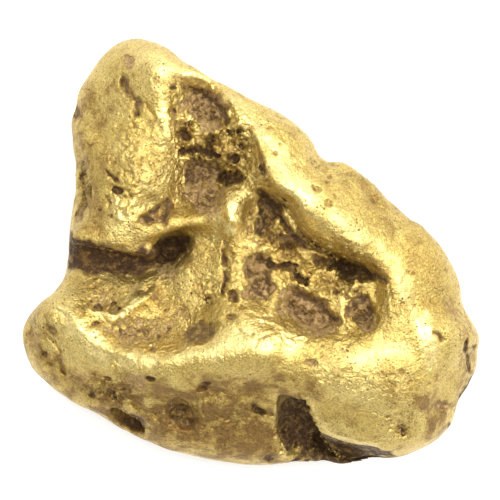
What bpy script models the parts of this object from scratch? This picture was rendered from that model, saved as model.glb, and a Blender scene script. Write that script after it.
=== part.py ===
"""A water-worn gold nugget, one solid that lies on its broad underside.

Run it with blender --background --python part.py, or from Blender's text editor.
Metres, +Z up. The origin is on the surface that the nugget rests on, under the middle of its box.
+X runs along its length. +Y runs across it, towards the head, the tall slab with the round end.

The nugget is made as a sculptor would make it: eggs and beads of metal are pressed into one body
and their seams melted smooth, the edge is drawn out to its true outline, basins, ribs, clefts and
pits are worked in from above and from the sides, caves are scooped out under the ridges, and the
lowest bumps are worn flat. Places and sizes in the tables are in millimetres.
"""

import math

import bmesh
import bpy
import numpy as np
from mathutils import Euler, Matrix, Vector, noise

MM = 0.001
NAME = "gold_nugget"

# How finely the body is worked, and how many triangles the finished solid has.
BODY_VOXEL = 0.30
CARVE_VOXEL = 0.24
MELT_ROUNDS = 22
WEAR_ROUNDS = 2
BEAD_STEP = 0.8
TRIANGLES = 9300

# How far the lowest bumps are worn off where the nugget rests.
FOOT_WEAR = 0.45

# Unevenness: the size of the swells and how far they stand out, and how ragged a hollow's edge is.
# The seed keeps it the same on every run: without one, the noise starts from the clock.
NOISE_SEED = 1795452666
SWELLS = ((4.2, 0.22), (1.7, 0.11), (0.8, 0.05))
RAGGED_SIZE = 1.3
RAGGED_SHIFT = 0.34

# Small pits scattered over the sides and the underside.
SCATTER_SEED = 7
SCATTER_COUNT = 90
SCATTER_RADIUS = (0.35, 1.25)
SCATTER_DEPTH = 0.42
SCATTER_TOP = 0.35

# The metal: warm yellow, worn to a soft shine.
GOLD_COLOUR = (0.78, 0.55, 0.20, 1.0)
GOLD_ROUGHNESS = 0.38

# Eggs of metal: name, centre, half-sizes, turn about Z.
EGGS = (
    ("core", (0.5, -2.2, 6.0), (11.5, 9.4, 5.6), 0),
    ("head_end", (-7.6, 10.4, 6.9), (4.9, 4.6, 5.6), 0),
    ("head_slab", (-8.2, 5.6, 7.2), (4.6, 7.4, 5.9), 0),
    ("head_neck", (-8.2, 2.6, 6.8), (5.2, 3.5, 5.8), 0),
    ("head_seam", (-5.6, 9.0, 8.2), (3.2, 4.4, 4.6), 0),
    ("toe", (-12.0, -6.3, 4.6), (4.1, 4.4, 4.4), -15),
    ("toe_shelf", (-9.4, -3.2, 5.2), (4.6, 4.6, 4.8), 0),
    ("lower_flank", (-2.4, -8.8, 5.3), (10.6, 5.9, 5.6), -6),
    ("lower_right", (8.0, -9.0, 6.4), (6.6, 5.9, 6.6), 0),
    ("right_cheek", (10.6, -6.2, 6.8), (5.2, 6.2, 6.2), 0),
    ("right_bulge", (13.6, -7.2, 4.8), (2.3, 3.0, 3.6), 0),
    ("back_swell", (-2.0, 6.0, 6.4), (6.0, 5.0, 5.4), -35),
    ("foot_head", (-8.0, 8.4, 2.6), (3.2, 3.6, 3.2), 20),
    ("foot_east", (9.8, -4.4, 2.6), (3.6, 3.0, 3.2), -30),
    ("foot_toe", (-9.4, -6.0, 2.6), (3.0, 2.7, 3.2), 10),
    ("foot_south", (2.6, -9.6, 2.6), (3.6, 2.6, 3.2), 0),
)

# Ridges: name, then a string of beads along the crest as (x, y, z, radius).
RIDGES = (
    ("long_ridge", ((-6.4, 12.0, 9.8, 2.7), (-3.8, 11.2, 11.4, 2.3), (-1.0, 9.8, 12.0, 2.6),
                    (1.4, 7.0, 12.3, 3.0), (3.8, 4.2, 12.4, 3.3), (7.0, 1.6, 11.8, 3.9),
                    (10.0, -1.6, 10.9, 4.4), (11.2, -5.0, 9.6, 4.6))),
    ("lower_ridge", ((-12.4, -4.8, 6.8, 3.2), (-10.2, -6.4, 7.8, 3.1), (-6.9, -7.6, 9.2, 3.0),
                     (-3.4, -7.0, 10.4, 3.2), (0.6, -5.9, 11.6, 3.4), (5.0, -7.0, 11.1, 3.8),
                     (9.0, -7.6, 9.9, 4.6))),
)

# The outline seen from above, clockwise from the top of the head.
OUTLINE_CENTRE = (-1.0, -3.0)
OUTLINE = (
    (-7.8, 15.0), (-6.4, 14.7), (-4.7, 13.4), (-2.6, 12.0), (-0.1, 10.6), (2.0, 9.6), (3.4, 8.7),
    (4.4, 7.5), (4.9, 6.5), (5.5, 6.2), (6.5, 6.2), (7.9, 5.2), (9.7, 3.5), (11.2, 2.2),
    (11.8, 2.0), (13.2, 0.5), (14.2, -1.1), (14.7, -2.3), (14.8, -3.4), (15.5, -4.6), (16.1, -5.8),
    (16.1, -7.2), (15.9, -8.6), (15.0, -9.9), (14.6, -10.7), (14.2, -12.1), (13.2, -13.3),
    (11.1, -14.4), (9.0, -14.8), (6.5, -15.2), (5.1, -14.9), (3.4, -14.8), (1.3, -15.1),
    (-1.5, -14.9), (-3.6, -14.5), (-5.7, -14.0), (-7.1, -13.5), (-8.5, -12.8), (-10.6, -11.6),
    (-12.7, -10.6), (-14.1, -9.6), (-15.3, -8.4), (-15.9, -6.9), (-16.1, -5.8), (-15.7, -4.6),
    (-14.8, -3.5), (-13.8, -2.9), (-13.1, -2.0), (-12.8, -0.7), (-12.7, 0.8), (-12.5, 2.6),
    (-12.2, 4.3), (-12.3, 6.1), (-12.5, 7.8), (-12.5, 9.6), (-12.0, 11.2), (-11.2, 12.6),
    (-10.3, 13.8), (-9.1, 14.7),
)
OUTLINE_SECTORS = 240

# Basins lowered to a level: name, path as (x, y, level), half-width, softness of the edge.
BASINS = (
    ("upper_valley", ((-3.4, 10.0, 11.9), (-2.8, 7.8, 11.9), (-2.0, 6.0, 12.2)), 2.1, 0.45),
    ("mid_valley", ((1.3, 2.4, 11.4), (1.8, 0.4, 11.4), (3.6, -0.9, 11.5), (7.2, -2.3, 11.7)), 1.7, 0.4),
    ("low_valley", ((0.8, -2.0, 12.0), (4.0, -3.7, 12.1), (7.2, -3.7, 12.2)), 1.8, 0.45),
    ("left_basin", ((-4.2, 0.8, 11.8), (-3.9, -1.4, 11.5), (-4.8, -3.4, 11.2)), 1.9, 0.6),
    ("shelf", ((-11.8, -2.2, 9.4), (-9.4, -2.8, 9.6), (-7.2, -2.4, 9.9)), 2.0, 0.35),
    ("shelf_basin", ((-8.8, -5.5, 10.1), (-5.6, -5.2, 10.6)), 1.4, 0.6),
)

# Ribs raised to a level: name, path as (x, y, level), half-width, softness of the edge.
RIBS = (
    ("slab_edge", ((-12.4, 1.1, 11.0), (-9.5, 1.0, 11.9), (-6.8, 1.4, 12.1)), 0.7, 0.5),
    ("spur", ((-1.2, 3.4, 12.9), (-1.0, 1.0, 12.6), (-1.1, -1.2, 12.6), (-0.9, -3.6, 13.2)), 1.1, 0.7),
    ("cross_rib", ((-5.6, 1.9, 12.3), (-2.8, 2.2, 12.5), (-1.2, 3.0, 12.8)), 0.7, 0.8),
    ("rib_low", ((-0.4, 0.1, 12.3), (2.2, 0.0, 12.1), (3.8, -0.9, 12.1)), 0.5, 0.8),
    ("rib_slant", ((1.9, -0.3, 12.2), (2.1, -2.4, 12.5), (1.6, -3.6, 13.0)), 0.5, 0.8),
    ("rib_east", ((6.0, -2.0, 12.3), (6.3, -3.4, 12.5), (6.3, -4.8, 13.2)), 0.5, 0.8),
    ("flank_lip", ((-4.4, -9.4, 11.2), (-1.0, -9.2, 12.0), (1.8, -9.3, 12.2)), 1.4, 0.9),
    ("toe_rim", ((-13.4, -4.4, 10.0), (-12.0, -4.8, 10.8), (-11.0, -6.0, 11.2), (-8.5, -7.3, 11.9)), 0.9, 0.9),
    ("shelf_rib", ((-11.0, -4.6, 10.4), (-8.5, -4.0, 10.8), (-7.1, -3.2, 11.0)), 0.5, 0.8),
)

# Clefts along a path: name, path, half-width, depth, which way the cut leans.
CLEFTS = (
    ("valley_rim", ((-5.8, 12.0), (-4.0, 11.4), (-2.6, 10.9), (-1.6, 9.2)), 0.5, 0.8, (0.4, 0.4)),
    ("v_groove", ((-5.2, 9.8), (-4.7, 8.4), (-4.6, 6.8)), 0.45, 0.7, (0.2, 0.0)),
    ("ridge_foot", ((-1.4, 9.4), (-0.3, 7.4), (0.9, 5.2)), 0.5, 0.8, (0.4, 0.2)),
    ("notch_groove", ((4.8, 6.8), (6.4, 5.2)), 0.6, 0.4, (0.0, 0.0)),
    ("basin_slot", ((-1.75, 0.7), (-1.75, -1.8)), 0.35, 0.6, (0.2, 0.0)),
    ("toe_scratch", ((-14.2, -5.6), (-13.4, -7.0), (-13.0, -8.4)), 0.4, 0.4, (0.0, 0.0)),
)

# Pits from above: name, place, half-sizes, turn in degrees, depth, which way the pit leans.
PITS = (
    ("pit_high", (-3.0, 9.9), (1.7, 1.2), -30, 1.2, (0.4, 0.5)),
    ("pit_mid", (-3.5, 4.7), (1.7, 1.9), 0, 1.5, (0.3, 0.2)),
    ("hole_right", (-1.1, 5.3), (1.1, 0.6), 0, 1.5, (0.3, 0.5)),
    ("column_hole", (-2.7, 7.5), (0.5, 0.7), 0, 1.0, (0.2, 0.0)),
    ("slit_hole", (-4.6, 8.1), (0.5, 0.4), 0, 0.7, (0.2, 0.0)),
    ("triangle", (1.3, 1.6), (1.2, 1.9), 15, 0.9, (0.5, 0.2)),
    ("pit_low", (0.8, -1.8), (1.0, 1.5), 0, 1.3, (0.4, 0.3)),
    ("pit_slant", (4.0, -4.1), (2.2, 1.1), -38, 1.5, (0.4, 0.5)),
    ("pit_east", (7.4, -4.0), (0.9, 1.3), 0, 1.4, (0.4, 0.4)),
    ("slab_dent", (-6.9, 2.7), (1.0, 1.0), 0, 0.8, (0.4, 0.2)),
    ("west_oval", (-3.3, -5.7), (1.2, 0.7), 22, 1.0, (0.1, 0.4)),
    ("shelf_dent", (-10.6, -2.6), (1.7, 0.8), -20, 0.5, (0.0, 0.0)),
    ("flank_hollow", (-4.6, -11.3), (1.3, 1.0), -30, 1.1, (0.0, 0.6)),
    ("flank_pit", (-3.2, -9.3), (0.6, 0.4), 30, 0.5, (0.0, 0.4)),
    ("flank_slot", (0.6, -11.0), (0.7, 0.35), -30, 0.6, (0.0, 0.4)),
    ("lobe_dent", (10.5, -12.3), (0.6, 0.6), 0, 0.6, (0.0, 0.3)),
    ("cheek_dent", (13.2, -10.7), (0.6, 0.4), 30, 0.4, (0.0, 0.0)),
    ("ridge_oval", (8.5, 3.6), (0.6, 0.7), 0, 0.4, (0.0, 0.0)),
)

# Hollows from the side: name, place on the skin, half-sizes (along, up), depth, push direction.
SIDE_PITS = (
    ("head_oval", (-12.3, 9.6, 7.0), (0.6, 1.0), 0.8, (1.0, 0.0, -0.2)),
    ("head_groove", (-12.2, 4.3, 7.6), (1.6, 0.6), 0.6, (1.0, 0.0, -0.3)),
    ("east_hole", (15.4, -6.4, 6.0), (1.1, 1.0), 1.0, (-1.0, 0.0, -0.2)),
    ("east_slot", (14.8, -9.6, 6.0), (0.8, 1.2), 0.9, (-1.0, 0.3, -0.2)),
    ("back_hollow", (6.4, 5.6, 6.4), (3.0, 1.7), 0.9, (-0.6, -0.8, 0.0)),
    ("back_dent", (-1.6, 11.2, 5.6), (2.0, 1.3), 0.8, (-0.4, -0.9, 0.1)),
    ("head_hollow", (-12.4, 6.4, 3.8), (2.2, 1.0), 0.6, (1.0, 0.0, 0.2)),
    ("toe_hollow", (-15.6, -6.6, 3.6), (1.6, 0.8), 0.6, (1.0, 0.1, 0.2)),
    ("south_hollow", (-1.6, -14.4, 3.6), (2.6, 1.0), 0.7, (0.0, 1.0, 0.2)),
)

# Caves scooped out with balls, undercut: name, then beads as (x, y, z, radius).
CAVES = (
    ("foot_cave", ((2.8, -10.0, 11.4, 0.9), (3.3, -11.4, 9.8, 1.5), (3.9, -12.8, 8.0, 1.8),
                   (5.4, -14.3, 7.2, 1.9), (8.0, -15.2, 6.6, 1.6))),
    ("deep_hole", ((-6.2, 0.0, 9.4, 1.2), (-5.3, 0.3, 9.2, 1.3), (-5.1, 0.3, 10.8, 1.2),
                   (-4.2, 0.8, 11.4, 0.9))),
    ("slab_cave", ((-13.4, -0.6, 9.0, 1.1), (-10.6, -0.8, 9.3, 1.3), (-8.0, -0.9, 9.5, 1.3),
                   (-6.2, -0.4, 9.5, 1.2))),
    ("ridge_cave", ((1.2, 3.9, 12.0, 0.5), (2.8, 1.8, 11.5, 0.8), (4.2, 0.1, 11.3, 0.9),
                    (6.4, -0.8, 11.3, 1.0), (8.9, -1.7, 11.5, 0.7))),
    ("flank_cave", ((-9.0, -11.2, 7.4, 0.8), (-7.9, -11.7, 6.8, 1.2))),
)


# ---- building the body ----

def clear_scene():
    for old in list(bpy.data.objects):
        bpy.data.objects.remove(old, do_unlink=True)


def add_egg(body, centre, half_sizes, turn=0.0):
    """Adds one ellipsoid of metal to the bmesh."""
    place = Matrix.LocRotScale(
        Vector(centre) * MM, Euler((0.0, 0.0, math.radians(turn))), Vector(half_sizes) * MM)
    bmesh.ops.create_icosphere(body, subdivisions=4, radius=1.0, matrix=place)


def add_beads(body, beads):
    """Adds balls in a string, close enough together to read as one swelling ridge."""
    for (*start, start_radius), (*end, end_radius) in zip(beads, beads[1:]):
        start, end = Vector(start), Vector(end)
        steps = max(1, round((end - start).length / BEAD_STEP))
        for step in range(steps + 1):
            share = step / steps
            radius = start_radius + (end_radius - start_radius) * share
            add_egg(body, start.lerp(end, share), (radius, radius, radius))


def make_object(name, body, collection):
    mesh = bpy.data.meshes.new(name)
    body.to_mesh(mesh)
    body.free()
    obj = bpy.data.objects.new(name, mesh)
    collection.objects.link(obj)
    return obj


def bake_modifiers(obj):
    """Replaces the object's mesh with the one that its modifiers make."""
    graph = bpy.context.evaluated_depsgraph_get()
    rough = obj.data
    obj.data = bpy.data.meshes.new_from_object(obj.evaluated_get(graph))
    obj.modifiers.clear()
    bpy.data.meshes.remove(rough)
    obj.data.name = obj.name


def reskin(obj, voxel, smooth_rounds):
    """One closed skin of even faces over all that the object holds, then smoothed."""
    skin = obj.modifiers.new("one_skin", "REMESH")
    skin.mode = "VOXEL"
    skin.voxel_size = voxel * MM
    melt = obj.modifiers.new("melt", "SMOOTH")
    melt.factor = 0.5
    melt.iterations = smooth_rounds
    bake_modifiers(obj)


def press_together(collection):
    """The rough body: every egg and ridge in one skin, with its seams melted smooth."""
    body = bmesh.new()
    for _, centre, half_sizes, turn in EGGS:
        add_egg(body, centre, half_sizes, turn)
    for _, beads in RIDGES:
        add_beads(body, beads)
    nugget = make_object(NAME, body, collection)
    reskin(nugget, BODY_VOXEL, MELT_ROUNDS)
    return nugget


# ---- sculpting ----

def smoothstep(low, high, value):
    share = np.clip((value - low) / (high - low), 0.0, 1.0)
    return share * share * (3.0 - 2.0 * share)


def noise_at(points, size):
    """A vector of smooth noise, from -1 to 1, for each point."""
    return np.array([noise.noise_vector(Vector(point) / size) for point in points])


def unit(way):
    way = np.array(way, dtype=float)
    return way / np.linalg.norm(way)


class Clay:
    """The points of a mesh in millimetres, which strokes push about and then hand back."""

    def __init__(self, obj):
        self.mesh = obj.data
        points = np.empty(len(self.mesh.vertices) * 3)
        self.mesh.vertices.foreach_get("co", points)
        self.points = points.reshape(-1, 3) / MM
        self.shift = noise_at(self.points, RAGGED_SIZE) * RAGGED_SHIFT
        self.hand_back()

    def hand_back(self):
        """Writes the points to the mesh and reads its new normals."""
        self.mesh.vertices.foreach_set("co", (self.points * MM).ravel())
        self.mesh.update()
        normals = np.empty(len(self.mesh.vertices) * 3)
        self.mesh.vertex_normals.foreach_get("vector", normals)
        self.normals = normals.reshape(-1, 3)

    def ragged(self):
        """Where each point seems to be: shifted a little, so that no hollow has a clean edge."""
        return self.points + self.shift

    def open_towards(self, way):
        """1 where the skin faces the stroke, 0 where it faces away."""
        return smoothstep(0.0, 0.4, -self.normals @ way)

    def near_path(self, path):
        """Each point's distance from a path seen from above, and the nearest place on the path."""
        spots = self.ragged()[:, :2]
        path = np.array(path, dtype=float)
        nearest = np.full(len(spots), np.inf)
        place = np.zeros((len(spots), path.shape[1]))
        for start, end in zip(path, path[1:]):
            run = end - start
            share = np.clip((spots - start[:2]) @ run[:2] / (run[:2] @ run[:2]), 0.0, 1.0)
            foot = start + share[:, None] * run
            gap = np.linalg.norm(spots - foot[:, :2], axis=1)
            closer = gap < nearest
            nearest[closer] = gap[closer]
            place[closer] = foot[closer]
        return nearest, place

    def push(self, touch, depth, way):
        self.points += (touch * self.open_towards(way) * depth)[:, None] * way
        self.hand_back()

    def bring_to_level(self, path, half_width, edge, limit):
        """Brings the skin near a path to the path's level. The limit np.minimum only lowers it."""
        gap, place = self.near_path(path)
        touch = 1.0 - smoothstep(1.0 - edge, 1.0 + edge, gap / half_width)
        touch *= self.open_towards(np.array((0.0, 0.0, -1.0)))
        self.points[:, 2] += touch * limit(place[:, 2] - self.points[:, 2], 0.0)
        self.hand_back()

    def press_cleft(self, path, half_width, depth, lean):
        """Cuts a trench along a path, undercut towards the way that it leans."""
        gap, _ = self.near_path(path)
        self.push(1.0 - smoothstep(0.3, 1.2, gap / half_width), depth, unit((*lean, -1.0)))

    def press_pit(self, place, half_sizes, turn, depth, lean):
        """Presses an oval pit in from above."""
        turn = math.radians(turn)
        offset = self.ragged()[:, :2] - np.array(place)
        along = offset @ (math.cos(turn), math.sin(turn)) / half_sizes[0]
        across = offset @ (-math.sin(turn), math.cos(turn)) / half_sizes[1]
        touch = 1.0 - smoothstep(0.5, 1.15, np.hypot(along, across))
        self.push(touch, depth, unit((*lean, -1.0)))

    def press_side(self, place, half_sizes, depth, way):
        """Presses an oval hollow in along any direction."""
        way = unit(way)
        sideways = unit(np.cross(way, (0.1, 0.2, 1.0)))
        upward = np.cross(sideways, way)
        offset = self.ragged() - np.array(place)
        reach = np.hypot(offset @ sideways / half_sizes[0], offset @ upward / half_sizes[1])
        touch = 1.0 - smoothstep(0.45, 1.15, reach)
        touch *= np.abs(offset @ way) < depth + 2.0 * max(half_sizes)
        self.push(touch, depth, way)


def draw_out_edge(obj):
    """Moves the flanks in or out until the shape seen from above has its outline."""
    clay = Clay(obj)
    centre = np.array(OUTLINE_CENTRE)
    offset = clay.points[:, :2] - centre
    bearing = np.arctan2(offset[:, 1], offset[:, 0])
    radius = np.linalg.norm(offset, axis=1)
    target = np.array(OUTLINE) - centre
    target_bearing = np.arctan2(target[:, 1], target[:, 0])
    order = np.argsort(target_bearing)
    target_radius = np.linalg.norm(target, axis=1)
    wanted = np.interp(bearing, target_bearing[order], target_radius[order], period=math.tau)
    sector = ((bearing / math.tau + 0.5) * OUTLINE_SECTORS).astype(int) % OUTLINE_SECTORS
    reach = np.zeros(OUTLINE_SECTORS)
    np.maximum.at(reach, sector, radius)
    middles = ((np.arange(OUTLINE_SECTORS) + 0.5) / OUTLINE_SECTORS - 0.5) * math.tau
    present = np.interp(bearing, middles, reach, period=math.tau)
    pull = smoothstep(0.45, 0.95, radius / present)
    stretch = 1.0 + pull * (wanted / present - 1.0)
    clay.points[:, :2] = centre + offset * stretch[:, None]
    clay.hand_back()


def work_the_face(obj):
    """The basins, ribs, clefts and pits that are seen from above and from the sides."""
    clay = Clay(obj)
    for _, path, half_width, edge in BASINS:
        clay.bring_to_level(path, half_width, edge, np.minimum)
    for _, path, half_width, edge in RIBS:
        clay.bring_to_level(path, half_width, edge, np.maximum)
    for _, path, half_width, depth, lean in CLEFTS:
        clay.press_cleft(path, half_width, depth, lean)
    for _, place, half_sizes, turn, depth, lean in PITS:
        clay.press_pit(place, half_sizes, turn, depth, lean)
    for _, place, half_sizes, depth, way in SIDE_PITS:
        clay.press_side(place, half_sizes, depth, way)


def scatter_pits(obj):
    """Small pits at random over the sides and the underside."""
    clay = Clay(obj)
    chance = np.random.default_rng(SCATTER_SEED)
    hidden = np.flatnonzero(clay.normals[:, 2] < SCATTER_TOP)
    for spot in chance.choice(hidden, SCATTER_COUNT, replace=False):
        radius = chance.uniform(*SCATTER_RADIUS)
        half_sizes = (radius, radius * chance.uniform(0.5, 1.0))
        clay.press_side(clay.points[spot], half_sizes, radius * SCATTER_DEPTH, -clay.normals[spot])


def roughen(obj):
    """Swells and dents of several sizes all over, as on metal that has rolled in gravel."""
    clay = Clay(obj)
    height = sum(stand * noise_at(clay.points, size)[:, 0] for size, stand in SWELLS)
    clay.points += clay.normals * height[:, None]
    clay.hand_back()


def scoop_caves(obj, collection):
    """Cuts the caves away, all of them as one blob of balls."""
    blob = bmesh.new()
    for _, beads in CAVES:
        add_beads(blob, beads)
    cutter = make_object("caves", blob, collection)
    reskin(cutter, CARVE_VOXEL, 1)
    cut = obj.modifiers.new("scoop", "BOOLEAN")
    cut.operation = "DIFFERENCE"
    cut.object = cutter
    bake_modifiers(obj)
    bpy.data.objects.remove(cutter, do_unlink=True)


def thin_out(obj):
    """Thins the skin to its triangle count, keeping the triangles where the shape bends."""
    thin = obj.modifiers.new("thin", "DECIMATE")
    thin.ratio = TRIANGLES / (2 * len(obj.data.polygons))
    thin.use_collapse_triangulate = True
    bake_modifiers(obj)


def settle(obj):
    """Wears the lowest bumps flat and puts the origin under the middle of the box."""
    clay = Clay(obj)
    low, high = clay.points.min(axis=0), clay.points.max(axis=0)
    middle = (low + high) / 2.0
    clay.points -= (middle[0], middle[1], low[2] + FOOT_WEAR)
    clay.points[:, 2] = np.maximum(clay.points[:, 2], 0.0)
    clay.hand_back()


def make_gold():
    gold = bpy.data.materials.new("native_gold")
    gold.use_nodes = True
    shader = gold.node_tree.nodes["Principled BSDF"]
    shader.inputs["Base Color"].default_value = GOLD_COLOUR
    shader.inputs["Metallic"].default_value = 1.0
    shader.inputs["Roughness"].default_value = GOLD_ROUGHNESS
    return gold


def main():
    noise.seed_set(NOISE_SEED)
    clear_scene()
    collection = bpy.data.collections.new(NAME)
    bpy.context.scene.collection.children.link(collection)
    nugget = press_together(collection)
    draw_out_edge(nugget)
    work_the_face(nugget)
    scatter_pits(nugget)
    reskin(nugget, CARVE_VOXEL, 1)
    scoop_caves(nugget, collection)
    roughen(nugget)
    reskin(nugget, CARVE_VOXEL, WEAR_ROUNDS)
    draw_out_edge(nugget)
    thin_out(nugget)
    settle(nugget)
    nugget.data.shade_smooth()
    nugget.data.materials.append(make_gold())


main()
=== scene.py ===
"""The looks of the water-worn gold nugget: its fine relief, its stains and its metal."""

import math

import bpy
import numpy as np
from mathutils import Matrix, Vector, kdtree, noise


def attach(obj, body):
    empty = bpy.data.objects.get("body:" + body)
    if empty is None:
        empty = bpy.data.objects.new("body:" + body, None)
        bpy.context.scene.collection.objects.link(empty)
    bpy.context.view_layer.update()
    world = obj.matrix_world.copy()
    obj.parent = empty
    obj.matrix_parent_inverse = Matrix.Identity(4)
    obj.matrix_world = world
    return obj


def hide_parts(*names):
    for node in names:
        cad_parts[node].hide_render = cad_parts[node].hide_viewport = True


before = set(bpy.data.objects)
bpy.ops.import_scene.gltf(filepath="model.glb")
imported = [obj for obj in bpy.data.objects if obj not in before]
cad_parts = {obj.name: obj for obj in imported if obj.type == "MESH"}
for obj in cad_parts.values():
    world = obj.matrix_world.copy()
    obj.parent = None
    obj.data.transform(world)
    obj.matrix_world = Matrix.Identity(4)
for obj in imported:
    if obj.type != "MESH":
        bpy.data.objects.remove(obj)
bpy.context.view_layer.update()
bpy.ops.object.select_all(action="DESELECT")


# ---- The light table ----
# A large white table that glows a little by itself. The nugget lies on it, and its steep edges
# mirror it.

TABLE_SIZE = 1.6
TABLE_GAP = 0.00002
TABLE_WHITE = (0.55, 0.55, 0.55, 1.0)
TABLE_ROUGHNESS = 0.8
TABLE_GLOW = 0.50
PURE_WHITE = (1.0, 1.0, 1.0, 1.0)

bpy.ops.mesh.primitive_plane_add(size=TABLE_SIZE, location=(0.0, 0.0, -TABLE_GAP))
table = bpy.context.object
table.name = "light_table"
white = bpy.data.materials.new("white_table")
white.use_nodes = True
table_shader = white.node_tree.nodes["Principled BSDF"]
table_shader.inputs["Base Color"].default_value = TABLE_WHITE
table_shader.inputs["Roughness"].default_value = TABLE_ROUGHNESS
table_shader.inputs["Emission Color"].default_value = PURE_WHITE
table_shader.inputs["Emission Strength"].default_value = TABLE_GLOW
table.data.materials.append(white)


# ---- The lights ----
# A soft box hangs almost above the nugget, a larger one stands off its upper right and a weak one off
# its upper left. The room is pale above and on the right, and dim behind the toe and below.

def hang_soft_box(name, place, size, power):
    """A square soft box that looks at the nugget."""
    bpy.ops.object.light_add(type="AREA", location=place)
    box = bpy.context.object
    box.name = name
    box.rotation_euler = (-Vector(place)).to_track_quat("-Z", "Y").to_euler()
    box.data.size = size
    box.data.energy = power


hang_soft_box("high_box", (0.0, 0.02, 0.38), 0.10, 0.48)
hang_soft_box("side_box", (0.18, 0.12, 0.32), 0.34, 1.50)
hang_soft_box("fill_box", (-0.14, 0.14, 0.33), 0.30, 0.45)

PALE_SIDE = Vector((0.5, 0.4, 0.75)).normalized()
PALE_STRENGTH = 1.05
DIM_STRENGTH = 0.40
DIM_UP_TO = -0.5
PALE_FROM = 1.0

room = bpy.data.worlds.new("room")
room.use_nodes = True
room_nodes = room.node_tree.nodes
room_links = room.node_tree.links
direction = room_nodes.new("ShaderNodeTexCoord")
towards_pale_side = room_nodes.new("ShaderNodeVectorMath")
towards_pale_side.operation = "DOT_PRODUCT"
towards_pale_side.inputs[1].default_value = PALE_SIDE
room_links.new(direction.outputs["Generated"], towards_pale_side.inputs[0])
paleness = room_nodes.new("ShaderNodeMapRange")
paleness.interpolation_type = "SMOOTHSTEP"
for name, number in (("From Min", DIM_UP_TO), ("From Max", PALE_FROM),
                     ("To Min", DIM_STRENGTH), ("To Max", PALE_STRENGTH)):
    paleness.inputs[name].default_value = number
room_links.new(towards_pale_side.outputs["Value"], paleness.inputs["Value"])
room_links.new(paleness.outputs["Result"], room_nodes["Background"].inputs["Strength"])
room_nodes["Background"].inputs["Color"].default_value = PURE_WHITE
bpy.context.scene.world = room
bpy.context.scene.view_settings.view_transform = "Standard"


# ---- The camera ----
# It looks straight down on the nugget, and its picture is as wide as the given width at the
# height of the nugget's shoulders.

CAMERA_HEIGHT = 0.35
SHOULDER_HEIGHT = 0.007
PICTURE_WIDTH = 0.035
PICTURE_MIDDLE = (0.0, 0.00013)
SENSOR_WIDTH = 36.0

bpy.ops.object.camera_add(location=(*PICTURE_MIDDLE, CAMERA_HEIGHT), rotation=(0.0, 0.0, 0.0))
camera = bpy.context.object
camera.name = "camera"
camera.data.sensor_width = SENSOR_WIDTH
camera.data.lens = SENSOR_WIDTH * (CAMERA_HEIGHT - SHOULDER_HEIGHT) / PICTURE_WIDTH
camera.data.clip_start = 0.01
bpy.context.scene.camera = camera
bpy.ops.object.select_all(action="DESELECT")


# ---- The body of the nugget ----
# One lump of native gold that a stream has rolled round. The plain solid is closed up and given an
# even net of faces, and its large forms are worked over before the fine relief.

MM = 0.001
COARSE_NET = 0.25
FINE_NET = 0.115
SAME_PLACE = 1e-6

nugget = bpy.data.objects.new("nugget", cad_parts["gold_nugget"].data.copy())
bpy.context.scene.collection.objects.link(nugget)
nugget.select_set(True)
bpy.context.view_layer.objects.active = nugget
bpy.ops.object.mode_set(mode="EDIT")
bpy.ops.mesh.select_all(action="SELECT")
bpy.ops.mesh.remove_doubles(threshold=SAME_PLACE)
bpy.ops.object.mode_set(mode="OBJECT")


def work_over(piece, kind, **settings):
    """Adds one modifier to a piece, sets it and applies it."""
    modifier = piece.modifiers.new(kind.lower(), kind)
    for setting, value in settings.items():
        setattr(modifier, setting, value)
    bpy.context.view_layer.objects.active = piece
    bpy.ops.object.modifier_apply(modifier=modifier.name)


def smoothstep(low, high, value):
    """0 below low, 1 above high and a soft slope between them."""
    share = np.clip((value - low) / (high - low), 0.0, 1.0)
    return share * share * (3.0 - 2.0 * share)


def points_of(piece):
    """A piece's points in millimetres."""
    points = np.empty(len(piece.data.vertices) * 3)
    piece.data.vertices.foreach_get("co", points)
    return points.reshape(-1, 3) / MM


# Without a seed the noise starts from the clock and comes out different on every run.
NOISE_SEED = 21
WRINKLE_SEED = 7
noise.seed_set(NOISE_SEED)

# How uneven a mark's edge is: the most that its swells and its ripples shift it, and the share of
# its reach that they shift a small mark.
SWELL_SHIFT = (0.60, 0.55)
RIPPLE_SHIFT = (0.26, 0.40)

# A hollow is filled only above this height and where it is no deeper than this below its level.
FILL_FROM = 6.0
FILL_DEPTH = 5.0
FILL_SOFTNESS = 0.09

# The underside keeps its shape: broad swells and crumbs fade out towards the table.
MOULD_FADE = 8.0
CRUMBLE_FADE = 2.5


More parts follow.
